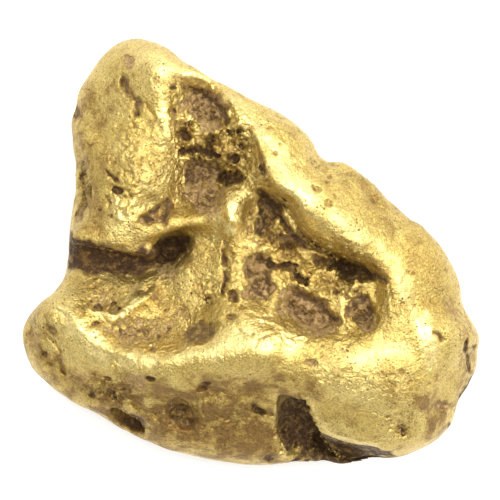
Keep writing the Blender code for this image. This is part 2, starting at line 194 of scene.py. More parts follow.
class Skin:
    """The skin of a piece in millimetres, and the marks that are worked into it from above."""

    def __init__(self, piece):
        self.piece = piece
        self.points = points_of(piece)
        count = len(self.points)
        self.swells = self.noise(1.1)
        self.ripples = self.noise(0.45)
        self.grains = self.noise(0.22)
        self.iron_and_painted_shade = np.zeros(count)
        self.clay = np.zeros(count)
        self.shine_and_painted_highlight = np.zeros(count)
        self.film_and_painted_shade = np.zeros(count)
        self.facing = np.empty((count, 3))
        self.settle()

    def noise(self, size):
        """A smooth random arrow for each point, whose swells are about size across."""
        return np.array([noise.noise_vector(Vector(point) / size) for point in self.points])

    def settle(self):
        """Hands the worked points to the piece and reads anew which way its skin faces."""
        self.piece.data.vertices.foreach_set("co", (self.points * MM).ravel())
        self.piece.data.update()
        arrows = np.empty(self.points.size)
        self.piece.data.vertex_normals.foreach_get("vector", arrows)
        self.facing = arrows.reshape(-1, 3)

    def spots(self, near, reach):
        """The near skin seen from above, shifted so that a mark of this reach has uneven edges."""
        coarse = min(SWELL_SHIFT[0], SWELL_SHIFT[1] * reach)
        fine = min(RIPPLE_SHIFT[0], RIPPLE_SHIFT[1] * reach)
        shift = coarse * self.swells[near, :2] + fine * self.ripples[near, :2]
        return self.points[near, :2] + shift

    def around(self, path, reach):
        """The numbers of the points that a mark of this reach along a path can touch."""
        low = np.min(path, axis=0) - reach - 1.0
        high = np.max(path, axis=0) + reach + 1.0
        flat = self.points[:, :2]
        return np.flatnonzero(np.all((flat > low) & (flat < high), axis=1))

    def oval(self, x, y, half_long, half_wide, turn, core=0.55):
        """1 inside an oval that is seen from above, falling to 0 past its edge."""
        near = self.around(((x, y),), 1.1 * max(half_long, half_wide))
        turn = math.radians(turn)
        offset = self.spots(near, min(half_long, half_wide)) - (x, y)
        along = offset @ (math.cos(turn), math.sin(turn)) / half_long
        across = offset @ (-math.sin(turn), math.cos(turn)) / half_wide
        touch = np.zeros(len(self.points))
        touch[near] = 1.0 - smoothstep(core, 1.1, np.hypot(along, across))
        return touch

    def strip(self, path, half_width, core=0.2, even=False):
        """1 along a path that is seen from above, falling to 0 past its half-width."""
        path = np.array(path)
        near = self.around(path, 1.8 * half_width)
        spots = self.points[near, :2] if even else self.spots(near, half_width)
        nearest = np.full(len(near), np.inf)
        for start, end in zip(path, path[1:]):
            run = end - start
            share = np.clip((spots - start) @ run / (run @ run), 0.0, 1.0)
            gap = spots - start - share[:, None] * run
            nearest = np.minimum(nearest, np.hypot(gap[:, 0], gap[:, 1]))
        width = half_width if even else half_width * (1.0 + 0.6 * self.swells[near, 2])
        touch = np.zeros(len(self.points))
        touch[near] = 1.0 - smoothstep(core, 1.1, nearest / width)
        return touch

    def sink(self, touch, depth):
        """Lowers the skin that faces up, or raises it with a negative depth."""
        self.points[:, 2] -= depth * touch * smoothstep(0.0, 0.3, self.facing[:, 2])

    def stain(self, touch, iron_and_painted_shade, clay, top=99.0):
        """Leaves iron stain, which also carries painted shade, and clay on the skin that is seen from
        above, up to a top height.
        """
        seen = touch * smoothstep(-0.1, 0.2, self.facing[:, 2])
        seen *= 1.0 - smoothstep(top - 0.4, top + 0.2, self.points[:, 2])
        np.maximum(self.iron_and_painted_shade, iron_and_painted_shade * seen, out=self.iron_and_painted_shade)
        np.maximum(self.clay, clay * seen, out=self.clay)

    def fill(self, rows):
        """Rows of x, y, half-length, half-width, turn and the level that lower skin is raised to."""
        for x, y, half_long, half_wide, turn, level in rows:
            touch = self.oval(x, y, half_long, half_wide, turn, core=0.6)
            gap = level - self.points[:, 2]
            lift = 0.5 * (gap + np.sqrt(gap * gap + FILL_SOFTNESS))
            lift *= touch * (self.points[:, 2] > FILL_FROM) * (gap < FILL_DEPTH)
            self.points[:, 2] += lift

    def mould(self, rows):
        """Rows of path, half-width and the height that a broad swell is raised by, or lowered."""
        for path, half_width, height in rows:
            touch = self.strip(path, half_width, core=0.0, even=True)
            self.points[:, 2] += height * touch * smoothstep(0.0, MOULD_FADE, self.points[:, 2])
        self.settle()

    def pits(self, rows):
        """Rows of x, y, half-length, half-width, turn, depth, iron stain with painted shade and clay
        stain.
        """
        for x, y, half_long, half_wide, turn, depth, iron_and_painted_shade, clay in rows:
            touch = self.oval(x, y, half_long, half_wide, turn)
            self.sink(touch, depth)
            self.stain(touch, iron_and_painted_shade, 0.0)
            if clay > 0.0:
                walls = self.oval(x, y, 1.15 * half_long, 1.15 * half_wide, turn, core=0.75)
                self.stain(walls, 0.0, clay)
        self.settle()

    def clefts(self, rows):
        """Rows of path, half-width, depth and iron stain with painted shade."""
        for path, half_width, depth, iron_and_painted_shade in rows:
            touch = self.strip(path, half_width)
            self.sink(touch, depth * (0.8 + 0.8 * self.swells[:, 0]))
            self.stain(touch, iron_and_painted_shade, 0.0)
        self.settle()

    def lips(self, rows):
        """Rows of path, half-width and height. A lip is worn smooth and given a weak painted highlight.
        """
        for path, half_width, height in rows:
            touch = self.strip(path, half_width, core=0.0)
            self.sink(touch, -height)
            np.maximum(self.shine_and_painted_highlight, 0.3 * touch, out=self.shine_and_painted_highlight)
        self.settle()

    def rub_and_paint_highlight(self, rows):
        """Rows of path, half-width and strength of a crest that is worn smooth and given a painted
        highlight.
        """
        for path, half_width, strength in rows:
            touch = strength * self.strip(path, half_width, core=0.0)
            np.maximum(self.shine_and_painted_highlight, touch * smoothstep(0.3, 0.7, self.facing[:, 2]), out=self.shine_and_painted_highlight)

    def tarnish_and_paint_shade(self, rows):
        """Rows of path, half-width and strength of a thin brown film, partly tarnish and partly painted
        shade, seen from above.
        """
        for path, half_width, strength in rows:
            touch = strength * self.strip(path, half_width, core=0.2)
            np.maximum(self.film_and_painted_shade, touch * smoothstep(-0.2, 0.1, self.facing[:, 2]), out=self.film_and_painted_shade)

    def crumble(self, rows):
        """Rows of x, y, half-length, half-width, turn and height of a patch of crumbly metal."""
        bumps = self.swells[:, 2] * 0.5
        bumps += 1.6 * np.abs(self.ripples[:, 2]) - 0.4
        bumps += 0.9 * np.abs(self.grains[:, 2]) - 0.2
        holes = np.minimum(self.ripples[:, 0] + 0.25 * self.grains[:, 0] + 0.14, 0.0)
        for x, y, half_long, half_wide, turn, height in rows:
            touch = self.oval(x, y, half_long, half_wide, turn, core=0.4)
            touch *= smoothstep(0.0, CRUMBLE_FADE, self.points[:, 2])
            self.points += self.facing * (height * touch * (bumps + 1.6 * holes))[:, None]
        self.settle()

    def wrinkle(self, rows):
        """Rows of x, y, half-length, half-width, number and height of short curved folds."""
        dice = np.random.default_rng(WRINKLE_SEED)
        for x, y, half_long, half_wide, number, height in rows:
            for _ in range(number):
                start = (x, y) + dice.uniform(-1.0, 1.0, 2) * (half_long, half_wide)
                bend = dice.uniform(-1.0, 1.0)
                ways = dice.uniform(0.0, math.tau) + bend * np.arange(3)
                steps = np.stack((np.cos(ways), np.sin(ways)), axis=1)
                path = start + np.cumsum(steps * dice.uniform(0.10, 0.32), axis=0)
                touch = self.strip(path, dice.uniform(0.10, 0.24), core=0.0)
                self.sink(touch, height * dice.uniform(-1.2, 0.8))
        self.settle()

    def relax(self, rows, rounds):
        """Rows of path and half-width of a strip whose steps are worn to slopes."""
        weight = np.zeros(len(self.points))
        for path, half_width in rows:
            np.maximum(weight, self.strip(path, half_width, core=0.4), out=weight)
        group = self.piece.vertex_groups.new(name="worn")
        for number in np.flatnonzero(weight > 0.01):
            group.add([int(number)], float(weight[number]), "REPLACE")
        work_over(self.piece, "SMOOTH", factor=0.9, iterations=rounds, vertex_group="worn")
        self.piece.vertex_groups.clear()
        self.points = points_of(self.piece)
        self.settle()


work_over(nugget, "SUBSURF", levels=1, render_levels=1)
work_over(nugget, "REMESH", mode="VOXEL", voxel_size=COARSE_NET * MM)

skin = Skin(nugget)
skin.fill((
    (1.4, 1.8, 1.7, 2.3, 0, 12.5),
    (0.7, -1.6, 1.4, 2.2, 0, 12.6),
    (4.2, -2.6, 4.4, 1.9, -25, 12.7),
    (8.2, -2.8, 1.6, 1.7, 0, 13.0),
    (2.5, 1.8, 1.0, 1.7, 35, 12.8),
    (4.4, -0.1, 1.8, 0.8, -35, 13.0),
    (-3.4, 4.4, 1.9, 2.0, 0, 10.3),
    (-7.8, -4.6, 2.6, 1.3, 15, 10.7),
    (-7.6, 0.2, 1.4, 0.6, -10, 11.5),
))
skin.settle()
skin.relax((
    (((0.7, 4.4), (2.4, 2.6), (4.6, 1.2), (7.2, 0.2), (9.7, -1.2)), 1.5),
    (((0.3, -4.0), (3.5, -6.0), (7.0, -6.3), (9.4, -4.6)), 1.1),
    (((9.6, -1.4), (9.8, -3.2), (9.0, -5.4)), 1.4),
    (((-12.2, -2.2), (-10.0, -2.3), (-7.6, -2.3), (-5.6, -2.0)), 0.9),
    (((-6.6, -1.9), (-5.2, -1.1), (-4.4, 0.2)), 0.6),
), 40)
skin.mould((
    (((5.1, 7.3), (8.6, 3.6), (11.1, -0.4), (12.3, -3.2)), 3.2, -1.1),
    (((-1.4, 10.6), (0.4, 8.2), (2.3, 5.6), (3.6, 3.3)), 1.2, 0.3),
    (((-10.1, 11.3), (-10.6, 8.5), (-10.6, 4.3)), 3.2, -0.9),
    (((-6.4, 13.3), (-5.9, 10.6), (-5.6, 8.2)), 1.7, 0.45),
    (((-7.1, -7.7), (-4.3, -7.2), (-1.5, -7.0), (0.7, -6.9)), 2.1, 0.7),
    (((12.2, -5.2), (12.6, -7.4)), 0.9, 0.25),
    (((-1.7, 10.3), (-0.2, 8.0), (0.9, 5.7), (2.1, 3.9)), 1.0, 0.9),
    (((-2.4, 11.2), (-1.5, 10.0), (-0.8, 8.8)), 0.8, 0.9),
    (((4.8, -13.1), (6.5, -13.8), (8.6, -14.2)), 0.75, -4.0),
    (((1.9, 5.0), (2.7, 3.9), (3.6, 2.7)), 1.3, 0.55),
    (((-0.6, 3.6), (-1.2, 2.6), (-1.4, 1.6)), 0.95, 0.5),
    (((-2.1, 10.3), (-1.4, 9.2), (-0.6, 7.8)), 0.8, 0.8),
))
skin.relax((
    (((5.4, -13.5), (7.4, -14.0), (9.4, -14.4)), 1.0),
    (((2.2, 5.6), (3.2, 4.2), (4.2, 2.9)), 1.4),
), 18)

work_over(nugget, "REMESH", mode="VOXEL", voxel_size=FINE_NET * MM)
work_over(nugget, "SMOOTH", factor=0.5, iterations=6)
skin = Skin(nugget)


# ---- The head ----
# The top end of the nugget is a smooth dome with a wrinkled middle, a few small pits and a row of
# dents along its left edge.

skin.pits((
    (-8.5, 13.2, 0.50, 0.45, 0, 0.22, 0.2, 0.7),
    (-8.8, 11.7, 0.30, 0.40, 0, 0.25, 0.6, 0.0),
    (-12.0, 9.7, 0.35, 0.75, 0, 0.40, 0.7, 0.0),
    (-9.2, 4.3, 0.34, 0.26, 30, 0.40, 0.9, 0.0),
    (-10.4, 2.9, 0.20, 0.16, 0, 0.15, 0.8, 0.0),
    (-9.6, 2.5, 0.22, 0.16, 60, 0.15, 0.8, 0.0),
    (-8.0, 4.5, 0.22, 0.14, 0, 0.15, 0.6, 0.0),
    (-6.5, 2.6, 1.20, 0.60, 45, 0.35, 0.45, 0.35),
    (-7.2, 2.2, 0.60, 0.35, 0, 0.25, 0.40, 0.35),
    (-5.3, 11.3, 0.30, 0.24, 0, 0.30, 0.9, 0.0),
))
skin.clefts((
    (((-8.8, 12.0), (-8.3, 11.0), (-7.9, 10.4), (-7.8, 9.6)), 0.42, 0.35, 0.75),
    (((-11.8, 6.2), (-11.6, 5.0), (-11.4, 4.0), (-11.7, 2.4)), 0.45, 0.40, 0.6),
    (((-6.6, 11.8), (-5.6, 12.0), (-4.3, 11.5)), 0.40, 0.25, 0.4),
    (((-9.9, 5.6), (-9.2, 4.9)), 0.20, 0.30, 0.8),
    (((-7.1, 10.2), (-6.5, 9.2), (-6.1, 8.3)), 0.20, 0.15, 0.3),
    (((-5.8, 3.7), (-5.8, 2.8), (-6.0, 1.9)), 0.40, 0.40, 0.85),
))
skin.lips((
    (((-9.3, 3.7), (-8.9, 2.9)), 0.80, 0.20),
))
skin.crumble((
    (-7.6, 6.2, 2.2, 3.2, 0, 0.12),
    (-9.0, 3.4, 1.6, 1.2, 0, 0.18),
    (-9.6, 7.5, 3.4, 7.0, 0, 0.05),
    (-11.6, 4.4, 0.6, 2.2, 0, 0.20),
))
skin.wrinkle((
    (-8.2, 5.6, 2.5, 3.6, 64, 0.16),
    (-10.6, 7.6, 1.4, 4.6, 14, 0.08),
))
# Painted highlights on the dome's upper right and on small crests, where the metal is also worn smooth.
skin.rub_and_paint_highlight((
    (((-7.0, 13.9), (-5.8, 12.9), (-4.7, 12.1)), 1.5, 1.0),
    (((-4.7, 12.6), (-3.2, 11.9), (-2.2, 11.2)), 0.6, 0.7),
    (((-7.6, 3.4), (-6.9, 4.1)), 0.9, 0.5),
    (((-6.4, 11.4), (-5.9, 9.8), (-5.6, 8.3)), 0.6, 0.7),
    (((-9.2, 3.4), (-8.7, 2.6)), 0.9, 0.7),
    (((-9.3, 1.9), (-8.2, 1.3)), 0.8, 0.4),
))
skin.tarnish_and_paint_shade((
    (((-11.2, 10.5), (-11.0, 6.5), (-11.0, 2.0)), 2.2, 0.55),
    (((-8.9, 11.6), (-8.2, 10.4), (-7.8, 9.0)), 0.7, 0.6),
    (((-6.6, 2.8), (-6.0, 2.5)), 1.1, 0.8),
))


# ---- The upper valley ----
# Between the head and the long ridge lies a valley of quartz casts. The grains have fallen out and
# left flat, clay-coloured floors between sharp ribs of gold.

skin.pits((
    (-3.10, 9.9, 1.55, 1.25, -25, 0.30, 0.30, 0.60),
    (-4.6, 8.1, 0.55, 0.40, 0, 0.60, 0.9, 0.0),
    (-2.7, 7.6, 0.33, 0.70, 0, 0.50, 0.75, 0.0),
    (-3.4, 5.6, 1.30, 0.80, 0, 0.50, 0.55, 0.45),
    (-3.3, 4.5, 1.30, 1.75, 0, 0.20, 0.35, 0.55),
    (-2.8, 3.3, 1.10, 0.80, 30, 0.15, 0.35, 0.50),
    (-1.3, 5.1, 1.10, 0.55, -15, 0.90, 1.0, 0.0),
    (-1.4, 8.2, 0.35, 0.30, 0, 0.45, 0.7, 0.0),
    (-0.65, 8.2, 0.30, 0.25, 0, 0.40, 0.5, 0.0),
    (-0.5, 7.4, 0.24, 0.38, 0, 0.30, 0.5, 0.0),
    (-1.2, 6.3, 0.45, 0.28, 0, 0.40, 0.7, 0.0),
    (0.9, 5.6, 0.30, 0.55, 0, 0.40, 0.9, 0.0),
))
skin.clefts((
    (((-4.6, 11.3), (-3.4, 11.1), (-2.5, 10.5), (-1.9, 9.7), (-1.6, 8.9)), 0.32, 0.60, 0.9),
    (((-5.3, 9.7), (-5.1, 8.6)), 0.28, 0.35, 0.7),
    (((-4.6, 6.8), (-3.6, 7.0), (-2.5, 6.8)), 0.36, 0.80, 1.0),
    (((-2.3, 6.6), (-2.2, 5.6), (-1.5, 5.0), (-0.8, 4.8)), 0.30, 0.40, 0.85),
))
skin.lips((
    (((-5.3, 9.2), (-4.4, 9.0), (-3.3, 8.8), (-2.4, 8.6), (-1.7, 8.2)), 0.55, 0.45),
    (((-3.6, 8.6), (-3.6, 7.9), (-3.5, 7.2)), 0.55, 0.40),
    (((-2.1, 6.9), (-1.2, 7.0), (0.0, 6.6)), 0.55, 0.30),
))
skin.crumble((
    (-3.15, 9.9, 1.6, 1.3, -25, 0.22),
    (-3.5, 4.6, 1.9, 2.2, 0, 0.16),
    (-3.6, 7.4, 2.0, 2.4, 0, 0.24),
    (-3.0, 7.0, 3.2, 5.6, 15, 0.10),
    (-1.0, 7.2, 1.5, 2.0, 0, 0.26),
    (-0.9, 8.9, 0.8, 2.2, 35, 0.16),
    (0.2, 5.2, 1.2, 1.2, 0, 0.22),
))
skin.wrinkle((
    (-3.0, 7.0, 2.2, 4.4, 40, 0.18),
))
# Painted highlights on the ribs and shoulders, and painted light on the valley's left slope.
skin.rub_and_paint_highlight((
    (((-0.6, 3.6), (-1.2, 2.6), (-1.5, 1.8)), 1.3, 1.0),
    (((-1.9, 2.0), (-2.3, 1.0)), 0.8, 0.5),
    (((-1.6, 11.0), (-0.6, 9.4), (0.4, 7.8)), 0.7, 0.6),
    (((-0.9, 8.4), (0.2, 6.8), (1.0, 5.4)), 0.8, 0.6),
    (((-1.6, 7.8), (-0.8, 7.2), (-0.4, 6.6)), 0.6, 0.4),
    (((-5.4, 8.9), (-4.0, 8.9)), 0.5, 0.6),
    (((-5.4, 7.4), (-5.0, 5.8), (-5.0, 4.2)), 1.0, 0.8),
))
skin.tarnish_and_paint_shade((
    (((-3.2, 10.4), (-2.3, 9.6)), 1.4, 0.55),
    (((-4.4, 7.8), (-2.6, 7.4), (-0.8, 7.4), (0.2, 6.4)), 1.4, 0.6),
    (((-3.8, 5.4), (-3.2, 3.6)), 2.1, 0.5),
    (((-0.9, 7.8), (0.4, 6.0), (1.2, 4.6)), 0.5, 0.5),
))


# ---- The middle hollows ----
# A second chain of casts runs down the inner wall of the long ridge, with iron-brown films on the
# wall that are partly stain and partly painted shade, and crumbly bridges of gold between the casts.

skin.pits((
    (0.9, 1.9, 1.15, 1.60, -20, 0.15, 0.60, 0.25),
    (1.5, 2.9, 1.00, 1.10, -30, 0.70, 0.7, 0.2),
    (0.9, 1.6, 0.80, 0.80, 0, 0.50, 0.6, 0.3),
    (2.5, 0.8, 0.90, 0.70, 0, 0.45, 0.7, 0.0),
    (0.65, -1.7, 1.00, 1.60, 0, 0.85, 0.4, 0.55),
    (2.6, -1.0, 0.80, 0.35, -10, 0.55, 0.8, 0.0),
    (3.6, -1.9, 0.70, 0.40, -20, 0.60, 0.9, 0.0),
    (3.95, -4.2, 2.10, 1.15, -38, 0.95, 0.3, 0.65),
    (7.45, -3.7, 0.90, 0.90, 15, 0.65, 0.35, 0.55),
    (7.9, -4.9, 0.75, 0.55, -30, 0.60, 0.35, 0.55),
    (6.7, -1.2, 2.20, 0.55, -14, 0.60, 0.80, 0.0),
    (-3.4, -0.7, 1.40, 2.60, 0, 0.0, 0.20, 0.0),
    (-1.0, -3.0, 0.42, 0.50, 0, 0.45, 0.8, 0.0),
    (-0.6, -3.8, 0.24, 0.20, 0, 0.25, 0.8, 0.0),
    (-1.25, -4.5, 0.45, 0.30, 0, 0.30, 0.7, 0.0),
    (-3.5, -5.6, 1.50, 0.75, 25, 0.50, 0.75, 0.25),
))
# The first, fifth and sixth clefts are dark creases under the long ridge's inner wall, partly iron
# stain and partly painted shade; the fifth has no depth and is only painted.
skin.clefts((
    (((0.7, 4.2), (1.7, 3.2), (2.6, 1.7), (3.7, 0.3)), 0.32, 0.70, 1.0),
    (((0.7, -0.7), (1.6, -1.0), (2.7, -0.9), (3.4, -1.9)), 0.28, 0.40, 0.9),
    (((3.2, -2.8), (4.4, -3.3), (5.3, -4.2), (6.0, -4.7)), 0.38, 0.50, 0.95),
    (((7.2, -2.8), (8.1, -3.4), (8.6, -4.6)), 0.30, 0.35, 0.60),
    (((3.4, 1.6), (5.4, 0.5), (7.4, -0.3), (9.4, -1.5)), 0.75, 0.0, 0.25),
    (((4.6, -0.4), (6.4, -1.0), (7.9, -1.3), (9.2, -1.9)), 0.42, 0.45, 0.85),
    (((-1.7, 0.8), (-1.85, 0.0), (-1.7, -0.8)), 0.26, 0.40, 0.60),
    (((-1.85, -1.3), (-1.7, -2.0), (-1.8, -2.8)), 0.30, 0.45, 0.85),
))
skin.lips((
    (((-1.7, 3.0), (-1.2, 2.7), (-0.7, 2.3)), 0.70, 0.25),
    (((-0.5, 0.6), (1.0, 0.2), (2.2, 0.2)), 0.50, 0.22),
    (((2.2, -2.4), (2.5, -3.3)), 0.45, 0.20),
    (((6.2, -3.0), (6.4, -4.2), (6.5, -5.2)), 0.60, 0.22),
))
skin.crumble((
    (5.3, -1.9, 3.6, 1.4, -15, 0.34),
    (1.6, 2.2, 1.5, 2.0, 0, 0.30),
    (-2.6, -2.8, 1.1, 1.1, 0, 0.20),
    (0.7, -1.7, 1.1, 1.8, 0, 0.22),
    (3.95, -4.2, 2.3, 1.3, -38, 0.10),
    (7.6, -4.2, 1.3, 1.5, 15, 0.18),
    (9.6, -3.2, 0.9, 2.4, 0, 0.18),
    (6.3, -0.2, 3.0, 0.9, -20, 0.10),
    (4.0, -6.2, 4.5, 0.8, -5, 0.10),
    (-1.2, -1.5, 0.7, 3.2, 0, 0.18),
    (3.6, -1.8, 5.6, 4.4, -25, 0.10),
    (-3.4, -1.5, 1.8, 3.6, 0, 0.07),
))
skin.wrinkle((
    (4.2, -2.6, 5.2, 3.4, 60, 0.18),
    (-2.2, -1.6, 2.2, 3.4, 30, 0.12),
))
# The first four films darken the ridge's inner wall towards its crease, partly tarnish and partly
# painted shade.
skin.tarnish_and_paint_shade((
    (((1.1, 3.2), (1.4, 1.8), (2.7, 0.4)), 1.15, 0.9),
    (((3.2, 0.9), (5.0, -0.1), (6.9, -0.8), (9.0, -1.8)), 0.8, 0.8),
    (((5.0, 1.2), (6.4, 0.5), (7.8, 0.0), (9.2, -1.0)), 1.3, 0.35),
    (((2.4, -0.8), (4.6, -1.7), (7.2, -2.3)), 1.8, 0.5),
    (((0.6, -0.4), (0.8, -2.6)), 1.3, 0.6),
    (((3.0, -3.4), (5.0, -5.0)), 1.6, 0.5),
    (((7.4, -3.6), (7.9, -4.9)), 1.3, 0.6),
    (((-3.6, 1.0), (-3.8, -0.8), (-3.5, -2.6)), 1.0, 0.45),
))


# ---- The notch and the shelf ----
# A dark notch cuts in from the left under the head, down to the deepest hole. Its dark band is partly
# iron stain and partly painted shadow under the head's ledge, and the hole is stained near black,
# partly as painted shade. Below it a worn shelf runs out to the toe.

skin.pits((
    (-5.3, 0.15, 1.10, 0.80, 0, 0.60, 0.9, 0.0),
    (-10.6, -2.5, 1.80, 0.90, 0, 0.10, 0.3, 0.1),
    (-10.6, -3.85, 0.42, 0.30, 0, 0.35, 0.8, 0.0),
    (-9.45, -3.9, 0.42, 0.48, 0, 0.35, 0.6, 0.0),
    (-10.8, -5.0, 0.32, 0.22, 0, 0.25, 0.8, 0.0),
    (-6.65, -6.7, 0.32, 0.24, 0, 0.30, 0.8, 0.0),
    (-7.8, -5.9, 1.60, 0.80, 0, 0.15, 0.30, 0.2),
    (-9.0, -5.2, 0.90, 0.60, 20, 0.08, 0.25, 0.35),
    (-7.6, -4.9, 0.38, 0.32, 0, 0.12, 0.2, 0.6),
    (-5.7, -1.3, 0.70, 0.50, 0, 0.10, 0.2, 0.5),
    (-4.7, -4.3, 0.40, 0.55, 20, 0.08, 0.2, 0.4),
    (-6.6, -3.1, 0.35, 0.28, 0, 0.08, 0.2, 0.45),
    (-10.9, -2.5, 0.26, 0.18, 0, 0.15, 0.6, 0.0),
    (-8.0, -2.4, 0.40, 0.30, 40, 0.10, 0.2, 0.3),
    (-8.6, -5.7, 1.80, 0.70, -10, 0.05, 0.15, 0.40),
    (-6.1, -5.0, 1.00, 0.70, 30, 0.05, 0.10, 0.35),
    (-10.4, -3.2, 1.00, 0.50, 0, 0.05, 0.15, 0.30),
))
# The first cleft has no depth: it paints the dark band under the head's ledge, partly iron stain and
# partly painted shadow.
skin.clefts((
    (((-12.8, -0.1), (-11.3, 0.1), (-10.0, -0.3), (-8.3, -0.5), (-6.0, -0.2)), 1.15, 0.0, 1.0),
    (((-12.9, 0.2), (-11.8, 0.8), (-10.8, 0.4)), 0.50, 0.20, 1.0),
    (((-12.4, -0.9), (-10.8, -1.2), (-9.2, -1.25), (-7.2, -0.9)), 0.65, 0.10, 1.0),
))
# More of the same painted shadow along the band, kept below the ledge.
skin.stain(skin.strip(((-12.6, 0.5), (-10.0, 0.4), (-7.0, 0.2)), 1.0, 0.7), 1.0, 0.0, top=10.6)
# The slots of the deepest hole are stained near black, partly iron and partly painted shade.
SLOT_DEPTH = 0.45
for path, half_width in (
    (((-5.7, 0.75), (-4.4, 0.85)), 0.36),
    (((-6.0, 0.25), (-4.8, 0.25)), 0.40),
    (((-6.2, -0.4), (-5.4, -0.4)), 0.40),
):
    slot = skin.strip(path, half_width, core=0.7, even=True)
    skin.sink(slot, SLOT_DEPTH)
    skin.stain(slot, 1.0, 0.0)
skin.lips((
    (((-13.4, -3.7), (-12.4, -4.4), (-11.6, -5.6), (-10.6, -6.6), (-8.5, -7.1)), 0.50, 0.22),
    (((-11.6, -3.9), (-10.4, -4.4), (-8.9, -4.3), (-7.8, -3.6), (-6.9, -2.9)), 0.55, 0.28),
    (((-10.9, -5.4), (-9.9, -5.2)), 0.30, 0.15),
))
skin.crumble((
    (-10.0, -4.2, 2.8, 2.4, -20, 0.11),
    (-10.0, -0.6, 3.2, 1.0, 0, 0.18),
    (-7.2, -5.6, 2.0, 1.3, 0, 0.10),
    (-6.6, -2.4, 1.4, 1.6, 0, 0.07),
))
skin.wrinkle((
    (-9.0, -3.9, 3.6, 2.4, 50, 0.16),
))
# Painted highlights on the toe crest and on the shelf's ridge.
skin.rub_and_paint_highlight((
    (((-13.2, -4.0), (-12.3, -5.0), (-11.2, -6.2), (-10.0, -7.2)), 1.0, 1.0),
    (((-10.2, -4.6), (-8.8, -4.1), (-7.3, -2.8)), 0.75, 1.0),
))
# The first film darkens the notch's band further, as tarnish and painted shadow.
skin.tarnish_and_paint_shade((
    (((-12.4, -0.5), (-10.0, -1.0), (-7.4, -0.7)), 1.0, 0.9),
    (((-12.0, -2.2), (-9.8, -2.6)), 1.4, 0.35),
    (((-10.2, -5.2), (-7.4, -5.4), (-4.6, -5.4)), 1.3, 0.3),
    (((-6.2, -3.2), (-4.9, -4.4)), 1.3, 0.5),
))


# ---- The toe ----
# The low left end is battered: a torn flake, scratches and a speckled rough patch.

skin.pits((
    (-13.8, -5.4, 0.60, 0.28, -50, 0.30, 0.7, 0.0),
    (-14.3, -7.1, 0.30, 0.24, 0, 0.25, 0.8, 0.0),
    (-14.0, -7.9, 0.24, 0.20, 0, 0.20, 0.7, 0.0),
    (-9.9, -8.8, 0.30, 0.24, 0, 0.25, 0.9, 0.0),
    (-8.75, -9.5, 0.24, 0.20, 0, 0.20, 0.8, 0.0),
    (-11.0, -10.0, 0.36, 0.26, 0, 0.25, 0.8, 0.0),
    (-9.8, -9.8, 0.30, 0.22, 0, 0.25, 0.8, 0.0),
    (-7.8, -8.85, 0.75, 0.50, 0, 0.12, 0.2, 0.6),
    (-6.9, -8.7, 0.40, 0.20, -15, 0.35, 1.0, 0.0),
))
skin.clefts((
    (((-14.1, -5.8), (-13.6, -6.2), (-13.1, -7.0)), 0.20, 0.20, 0.3),
    (((-13.4, -7.6), (-12.95, -8.4)), 0.26, 0.30, 0.6),
))
skin.crumble((
    (-10.1, -9.6, 2.2, 1.0, -10, 0.24),
    (-13.8, -7.0, 1.2, 1.8, -20, 0.09),
))
skin.wrinkle((
    (-13.9, -6.6, 1.1, 2.0, 16, 0.14),
    (-10.0, -9.4, 2.4, 1.0, 20, 0.14),
))
skin.tarnish_and_paint_shade((
    (((-14.6, -4.4), (-15.2, -6.4), (-14.0, -8.6)), 1.3, 0.6),
    (((-12.4, -9.2), (-9.8, -9.6), (-7.2, -9.4)), 1.6, 0.7),
))


# ---- The lower flank ----
# The flank below the cross ridge drops to the table and faces away from the light. It has a curled
# flap over a shallow hole stained near black as painted shade, a hollow and a slot beside a thin
# upright rib, and a brown film over all of it that is partly tarnish and partly painted shade.

skin.wrinkle((
    (-2.4, -11.8, 6.0, 2.4, 40, 0.12),
))
# A brown film over the flank, partly tarnish and partly painted shade.
skin.tarnish_and_paint_shade((
    (((-8.8, -10.6), (-5.6, -11.8), (-1.6, -12.2), (1.6, -12.8)), 3.4, 1.0),
    (((-5.4, -11.0), (-4.6, -12.0)), 1.6, 1.0),
    (((-5.6, -9.8), (-2.0, -9.5), (1.0, -9.4), (4.2, -9.4)), 1.5, 0.8),
))
skin.stain(skin.oval(-4.8, -11.4, 1.5, 1.1, 0, 0.3), 0.5, 0.1)
skin.pits((
    (-8.3, -11.9, 1.15, 0.75, 0, 0.30, 1.0, 0.0),
    (-3.2, -9.25, 0.55, 0.35, 40, 0.40, 0.8, 0.0),
    (-5.0, -11.0, 0.85, 0.55, 20, 0.40, 0.7, 0.2),
    (-4.4, -11.9, 0.75, 0.50, -20, 0.35, 0.7, 0.2),
    (0.55, -10.9, 0.75, 0.28, -35, 0.55, 0.95, 0.0),
    (1.5, -11.3, 0.24, 0.20, 0, 0.25, 0.8, 0.0),
    (1.3, -14.4, 0.32, 0.42, 0, 0.40, 0.9, 0.0),
))
skin.lips((
    (((-8.7, -10.4), (-8.0, -11.2), (-7.1, -11.9)), 0.35, 0.25),
    (((-7.1, -10.4), (-7.0, -11.3)), 0.80, 0.25),
    (((1.8, -9.4), (2.0, -12.0), (2.6, -14.4)), 0.35, 0.25),
))
skin.crumble((
    (-3.0, -11.6, 5.5, 2.6, 0, 0.13),
    (-8.6, -10.3, 1.6, 0.9, 0, 0.18),
    (2.0, -13.3, 1.2, 1.8, 0, 0.10),
))


# ---- The foot cave ----
# A tall cave opens in the lower flank. Iron crust and painted shade darken it, with a little clay at
# its right end, and its upper edge is worn smooth and given a painted highlight.

CAVE_EDGE = ((4.1, -10.2), (4.8, -11.6), (5.6, -12.7), (7.0, -13.1), (8.6, -13.5))

